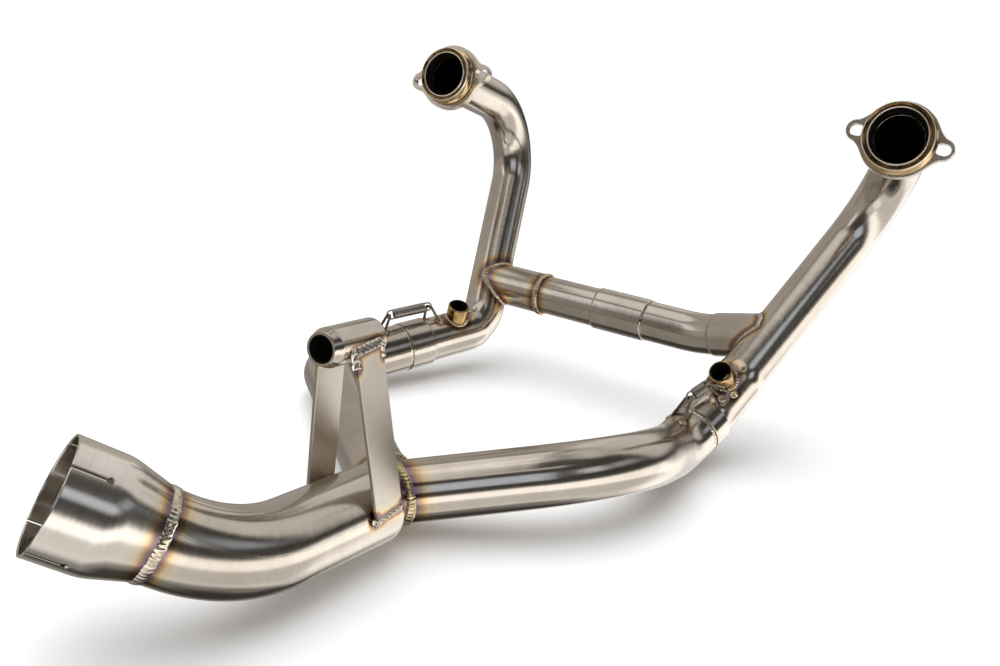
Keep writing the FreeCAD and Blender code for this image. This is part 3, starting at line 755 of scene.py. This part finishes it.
# A flat bar as a fine grid, so that the heat colours have places to lie on.
def stripPiece(name, node, sideways):
    top = tubeOver + Vector((sideways * (hanger["radius"] + hanger["thick"] / 2 - hanger["bite"]), 0, 0))
    foot = mainUnder + Vector((sideways * (footReach + hanger["thick"] / 2 - hanger["bite"]), 0, hanger["footRise"]))
    down = (foot - top).normalized()
    across = (Vector((0, 1, 0)) - down * down.y).normalized()
    out = across.cross(down) * (1 if across.cross(down).x * sideways > 0 else -1)
    length = (foot - top).length
    rows, half, thick, edge = hanger["rows"], hanger["width"] / 2, hanger["thick"] / 2, hanger["edge"]
    lip = [(-half + edge, -thick), (half - edge, -thick), (half, -thick + edge), (half, thick - edge),
           (half - edge, thick), (-half + edge, thick), (-half, thick - edge), (-half, -thick + edge)]
    section = []
    for n, (x, y) in enumerate(lip):
        after = lip[(n + 1) % len(lip)]
        parts = 16 if abs(after[0] - x) > half else 1
        section += [(x + (after[0] - x) * k / parts, y + (after[1] - y) * k / parts) for k in range(parts)]
    verts, uvs = [], []
    for r in range(rows + 1):
        for x, y in section:
            verts.append(top + down * (length * r / rows) + across * x + out * y)
            uvs.append((length * r / rows, x))
    count = len(section)
    faces = gridFaces(rows + 1, count)
    faces += [tuple(reversed(range(count))), tuple(rows * count + k for k in range(count))]
    pipes.append(newPiece(name, verts, faces, stripSteel, [node], uvs, smooth=False))
    return top, foot, down, across, out


# A lumpy weld round one end of a strip: down both edges and over the end, and back where it can't be seen.
def stripWeld(name, node, end, down, across, out, reach, seed):
    half, thick = hanger["width"] / 2, hanger["thick"] / 2
    corners = [(-half, reach), (-half, 0), (half, 0), (half, reach)]
    ways = [-across, -down, across]
    front, back = [], []
    for n in range(3):
        (x, y), (nextX, nextY) = corners[n:n + 2]
        for k in range(24):
            t = k / 24
            point = end + across * (x + (nextX - x) * t) + down * (y + (nextY - y) * t)
            away = ways[n]
            front.append((point + out * thick * 0.5, (away * 0.6 + out).normalized(), (away - out * 0.6).normalized()))
            back.append((point - out * thick * 1.2, -out, away))
    weldPiece(name, [node], front + back[::-1], stripBead["half"], stripBead["height"], stripBead["pitch"], paleWeld,
              stripBead["rough"], stripBead["spread"], seed, stripBead["sink"])


for sideName, sideways in (("left", -1), ("right", 1)):
    top, foot, down, across, out = stripPiece(sideName + "Strip", "hanger_strip_" + sideName, sideways)
    for end, place, heading, seed in (("Top", top, down, 41), ("Foot", foot, -down, 43)):
        reach = hanger[end.lower() + "Weld"]
        node = "hanger_" + sideName + "_" + end.lower() + "_weld"
        stripWeld(sideName + end + "Weld", node, place, heading, across, out, reach, seed)
print("hanger built")

# Port flanges: an eared plate with slotted holes, and a dished collar.
# The place of each plate's front face and the way the port opens.
flanges = {"right": (mm(232.5, 225.0, 319.5), (0.0103, -0.95749, 0.28828)),
           "left": (mm(-221.0, 225.0, 320.5), (-0.01602, -0.95577, 0.29367))}
# The plate's outline leaves the round part 54 degrees from its top and meets the ear at 78 degrees.
plate = {"round": 0.0335, "thick": 0.008, "ear": 0.0092, "spacing": 0.03675, "hole": 0.00525, "slot": 0.0013,
         "bore": 0.0228, "edge": 0.0005, "roundTo": 54, "earFrom": 78, "waist": 0.014}
# Distance in front of the plate and radius, round the collar's section, in millimetres, and the rows of it that
# are polished rims, the dark dish between them and the bore, painted near black for soot and painted shade. The two
# collars differ in height and width.
collarSection = [(0, 32.4), (3.6, 32.4), (4.3, 32.0), (4.6, 28.8), (10.6, 28.8), (11.4, 30.4), (13.4, 30.6),
                 (14.4, 30.2), (14.8, 29.6), (14.5, 28.9), (13.6, 28.2), (13.3, 26.6), (13.9, 25.9), (14.7, 25.7),
                 (14.9, 25.0), (14.6, 24.6), (13.4, 24.4), (6, 23.0), (-1, 20.9)]
collarRows = {"rim": (5, 6, 7, 12, 13, 14), "dish": (8, 9, 10, 11), "bore": (15, 16, 17, 18)}
collarGrow = {"right": (1.1, 0.98), "left": (0.86, 0.91)}
leastBore = 20.9    # the bore's least radius, in millimetres


def plateOutline(inset):
    spread, ear = plate["round"] - inset, plate["ear"] - inset
    quarter = []
    for k in range(20):
        angle = math.radians(90 - plate["roundTo"] * k / 19)
        quarter.append((spread * math.cos(angle), spread * math.sin(angle)))
    leaving, turn = math.radians(90 - plate["roundTo"]), math.radians(plate["earFrom"])
    start, way = quarter[-1], (math.sin(leaving), -math.cos(leaving))
    end, endWay = (plate["spacing"] + ear * math.cos(turn), ear * math.sin(turn)), (math.sin(turn), -math.cos(turn))
    reach = plate["waist"]
    for k in range(1, 12):
        a, b, c, d = curveWeights(k / 12)
        quarter.append(tuple(start[n] * a + end[n] * b + (way[n] * c + endWay[n] * d) * reach for n in range(2)))
    for k in range(14):
        angle = turn * (1 - k / 13)
        quarter.append((plate["spacing"] + ear * math.cos(angle), ear * math.sin(angle)))
    upper = [(-x, y) for x, y in quarter[1:-1][::-1]] + quarter
    return upper + [(-x, -y) for x, y in upper]


for sideName, (centre, direction) in flanges.items():
    direction = Vector(direction).normalized()
    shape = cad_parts[sideName + "_flange_plate"]
    corners = [shape.matrix_world @ vertex.co - centre for vertex in shape.data.vertices]
    corners = [corner - direction * corner.dot(direction) for corner in corners]
    farthest = max(corners, key=lambda corner: corner.length)
    earCorners = [corner for corner in corners if corner.dot(farthest) > 0.9 * farthest.length ** 2]
    earWay = sum(earCorners, Vector()).normalized()
    sideWay = direction.cross(earWay)
    thick, edge = plate["thick"], plate["edge"]
    verts = [centre + direction * height + earWay * x + sideWay * y
             for height, inset in ((-thick, edge), (-thick + edge, 0), (-edge, 0), (0, edge))
             for x, y in plateOutline(inset)]
    count = len(verts) // 4
    faces = gridFaces(4, count)
    faces += [tuple(reversed(range(count))), tuple(3 * count + k for k in range(count))]
    body = newPiece(sideName + "FlangePlate", verts, faces, flangeSteel, [sideName + "_flange_plate"],
                    smooth=False)
    turn = Matrix((earWay, sideWay, direction)).transposed().to_4x4()
    holes = [(0, plate["bore"])]
    for way in (-1, 1):
        for slide in (-plate["slot"], plate["slot"]):
            holes.append((way * (plate["spacing"] + slide), plate["hole"]))
    cutters = []
    for x, radius in holes:
        bpy.ops.mesh.primitive_cylinder_add(vertices=64, radius=radius, depth=0.03)
        cutters.append(bpy.context.object)
        cutters[-1].matrix_world = Matrix.Translation(centre + earWay * x) @ turn
    for way in (-1, 1):
        bpy.ops.mesh.primitive_cube_add(size=1)
        cutters.append(bpy.context.object)
        cutters[-1].matrix_world = (Matrix.Translation(centre + earWay * way * plate["spacing"]) @ turn
                                    @ Matrix.Diagonal((2 * plate["slot"], 2 * plate["hole"] - 0.00002, 0.03, 1)))
    cutAway(body, cutters)
    verts, sides = [], 160
    taller, wider = collarGrow[sideName]
    for height, radius in collarSection:
        height, radius = height * taller / 1000, max(leastBore, radius * wider) / 1000
        for k in range(sides):
            angle = 2 * math.pi * k / sides
            outward = earWay * math.cos(angle) + sideWay * math.sin(angle)
            verts.append(centre + direction * height + outward * radius)
    collar = newPiece(sideName + "FlangeCollar", verts, gridFaces(len(collarSection), sides, True), collarSteel,
                      [sideName + "_flange_collar"])
    for slotNumber, (part, material) in enumerate((("rim", rimSteel), ("dish", dishSteel), ("bore", sootAndShadeSteel)), 1):
        collar.data.materials.append(material)
        for row in collarRows[part]:
            for face in collar.data.polygons[row * sides:(row + 1) * sides]:
                face.material_index = slotNumber
print("flanges built")

# Heat colours: every pipe vertex keeps its distance to the nearest weld.
tree = kdtree.KDTree(len(weldSpots))
for n, (point, spread) in enumerate(weldSpots):
    tree.insert(point, n)
tree.balance()
for piece in pipes:
    layer = piece.data.attributes.new("weldAway", "FLOAT", "POINT")
    values = []
    for vertex in piece.data.vertices:
        found = [max(0.0, distance - 0.0035) / weldSpots[n][1] for spot, n, distance in tree.find_n(vertex.co, 8)]
        values.append(min(found))
    layer.data.foreach_set("value", values)
print("heat colours laid")

bpy.ops.object.select_all(action="DESELECT")
bpy.ops.mesh.primitive_plane_add(size=60, location=(0, 0, 0))
floor = bpy.context.object
floor.name = "studioFloor"
material, nodesTree = newMaterial("studio_floor")
place = addNode(nodesTree, "ShaderNodeTexCoord").outputs["Object"]
away = addNode(nodesTree, "ShaderNodeVectorMath", {0: place}, operation="LENGTH").outputs["Value"]
far = addNode(nodesTree, "ShaderNodeMapRange", {"Value": away, "From Min": 0.6, "From Max": 1.3}).outputs[0]
paper = addNode(nodesTree, "ShaderNodeBsdfDiffuse", {"Color": (0.86, 0.86, 0.86, 1)}).outputs[0]
glow = addNode(nodesTree, "ShaderNodeEmission", {"Color": (1, 1, 1, 1), "Strength": 1.0}).outputs[0]
both = addNode(nodesTree, "ShaderNodeMixShader", {0: far, 1: paper, 2: glow}).outputs[0]
# The steel mirrors the studio's surroundings below the horizon too, so the floor is clear to it.
clear = addNode(nodesTree, "ShaderNodeBsdfTransparent").outputs[0]
glossy = addNode(nodesTree, "ShaderNodeLightPath").outputs["Is Glossy Ray"]
both = addNode(nodesTree, "ShaderNodeMixShader", {0: glossy, 1: both, 2: clear}).outputs[0]
addNode(nodesTree, "ShaderNodeOutputMaterial", {"Surface": both})
floor.data.materials.append(material)

world = bpy.data.worlds.new("studio")
bpy.context.scene.world = world
world.use_nodes = True
sky = world.node_tree
sky.nodes.clear()
toward = addNode(sky, "ShaderNodeTexCoord").outputs["Generated"]
split = addNode(sky, "ShaderNodeSeparateXYZ", {0: toward}).outputs
azimuth = mathNode(sky, "MULTIPLY", mathNode(sky, "ARCTAN2", split[0], split[1]), 180 / math.pi)
elevation = mathNode(sky, "MULTIPLY", mathNode(sky, "ARCSINE", split[2]), 180 / math.pi)


# One soft-edged panel of the studio: its middle azimuth (0 is +Y, 90 is +X) and half width, its lowest
# and highest elevation and its softness, all in degrees.
def panel(middle, half, low, high, soft):
    off = mathNode(sky, "WRAP", mathNode(sky, "SUBTRACT", azimuth, middle), 180.0, -180.0)
    level = mathNode(sky, "SUBTRACT", elevation, (low + high) / 2)
    inside = 1.0
    for value, reach in ((off, half), (level, (high - low) / 2)):
        edge = addNode(sky, "ShaderNodeMapRange", {
            "Value": mathNode(sky, "ABSOLUTE", value), "From Min": reach - soft, "From Max": reach + soft,
            "To Min": 1.0, "To Max": 0.0}, interpolation_type="SMOOTHSTEP").outputs[0]
        inside = mathNode(sky, "MULTIPLY", inside, edge)
    return inside


# What the steel mirrors: the panel's place, colour and strength.
lights = {
    "top": ((-112, 92, 57, 84, 3), "#ffffff", 1.7), "zenith": ((0, 181, 80, 91, 4), "#ffffff", 0.7),
    "leftWall": ((-85, 66, -8, 52, 7), "#fffaf4", 0.45), "leftFloor": ((-85, 75, -60, -10, 7), "#fffaf4", 0.3),
    "backWall": ((15, 36, 10, 53, 4), "#ffffff", 0.8), "backTop": ((30, 40, 56, 74, 5), "#ffffff", 0.7),
    "backFloor": ((15, 34, -52, -12, 6), "#ffffff", 0.9), "frontStrip": ((105, 62, -24, -3, 2.5), "#ffffff", 1.1),
    "frontFloor": ((108, 92, -64, -2, 4), "#ffffff", 0.85), "window": ((147, 16, 17, 40, 2.5), "#dbeaff", 1.7),
    "smallWindow": ((74, 11, 20, 33, 2.5), "#dbeaff", 0.6), "socketWindow": ((101, 9, 22, 35, 3), "#e6f0ff", 2.4),
    "lowFloor": ((140, 100, -78, -57, 6), "#ffffff", 0.25), "highStrip": ((140, 26, 54, 58, 1.5), "#ffffff", 1.1),
    "sideStrip": ((-139, 6, 20, 48, 2), "#eaf2ff", 1.5), "cameraFloor": ((182, 17, -46, -25, 3), "#ffffff", 0.6)}
mirrored = (0.06, 0.057, 0.052, 1.0)
for place, colour, power in lights.values():
    part = mixColour(sky, mathNode(sky, "MULTIPLY", panel(*place), power), (0, 0, 0, 1), linear(colour))
    mirrored = mixColour(sky, 1.0, mirrored, part, "ADD")

# What lights the floor: a soft light overhead, a little behind and to the left, so that shadows fall right.
overhead = (-0.25, 0.1, 0.96)
facing = addNode(sky, "ShaderNodeVectorMath", {0: toward, 1: overhead}, operation="DOT_PRODUCT").outputs["Value"]
glow = addNode(sky, "ShaderNodeMapRange", {
    "Value": facing, "From Min": 0.60, "From Max": 0.92, "To Min": 0.5, "To Max": 2.9},
    interpolation_type="SMOOTHSTEP").outputs[0]
path = addNode(sky, "ShaderNodeLightPath").outputs
litFloor = addNode(sky, "ShaderNodeBackground", {"Color": (1, 1, 1, 1), "Strength": glow}).outputs[0]
litSteel = addNode(sky, "ShaderNodeBackground", {"Color": mirrored, "Strength": 1.0}).outputs[0]
white = addNode(sky, "ShaderNodeBackground", {"Color": (1, 1, 1, 1), "Strength": 1.0}).outputs[0]
seen = addNode(sky, "ShaderNodeMixShader", {0: path["Is Glossy Ray"], 1: litFloor, 2: litSteel}).outputs[0]
seen = addNode(sky, "ShaderNodeMixShader", {0: path["Is Camera Ray"], 1: seen, 2: white}).outputs[0]
addNode(sky, "ShaderNodeOutputWorld", {"Surface": seen})

# Camera at the photograph's place: where it stands in millimetres, the ways its picture's right edge and lower
# edge lie, the way it looks, and its focal length in pixels.
view = {"place": (331.7, -708.7, 426.1), "right": (0.8781, 0.4719, 0.0785), "down": (0.2249, -0.2625, -0.9384),
        "ahead": (-0.4223, 0.8417, -0.3366), "focal": 998.86, "wide": 1000, "high": 666, "samples": 256}
camera = bpy.data.objects.new("camera", bpy.data.cameras.new("camera"))
bpy.context.scene.collection.objects.link(camera)
turn = Matrix((Vector(view["right"]), -Vector(view["down"]), -Vector(view["ahead"]))).transposed().to_4x4()
camera.matrix_world = Matrix.Translation(mm(*view["place"])) @ turn
camera.data.sensor_width = 36
camera.data.lens = 36 * view["focal"] / view["wide"]
camera.data.clip_end = 100
scene = bpy.context.scene
scene.camera = camera
scene.render.resolution_x, scene.render.resolution_y = view["wide"], view["high"]
scene.render.engine = "CYCLES"
scene.cycles.samples = view["samples"]
scene.cycles.use_denoising = True
scene.view_settings.view_transform = "Standard"
scene.view_settings.look = "None"
print("studio ready")
